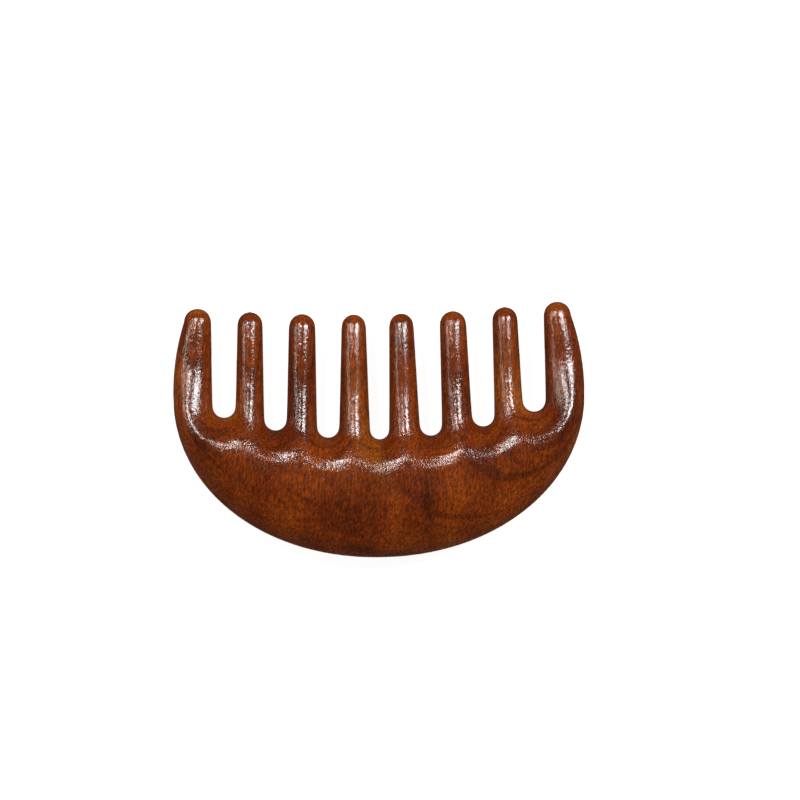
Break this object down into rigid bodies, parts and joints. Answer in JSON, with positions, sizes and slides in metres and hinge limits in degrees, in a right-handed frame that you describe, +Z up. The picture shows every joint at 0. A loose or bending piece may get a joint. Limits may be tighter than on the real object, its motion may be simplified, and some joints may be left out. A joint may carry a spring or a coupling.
{
  "type": "wide tooth comb",
  "caption": "Wide tooth hand comb carved from one piece of polished reddish wood, with a thick crescent back and round teeth, the outer ones curved like horns.",
  "frame": {"origin": "under the middle of the comb's box, on the surface that it lies on", "axes": "+X along the width of the comb, +Y the way the teeth point, +Z up, out of the broad face"},
  "size_m": [0.1, 0.0614, 0.0165],
  "materials": {
    "wood": "gloss"
  },
  "bodies": {
    "root": {"back": "wood", "tooth_1": "wood", "tooth_2": "wood", "tooth_3": "wood", "tooth_4": "wood", "tooth_5": "wood", "tooth_6": "wood", "tooth_7": "wood", "tooth_8": "wood"}
  },
  "joints": []
}
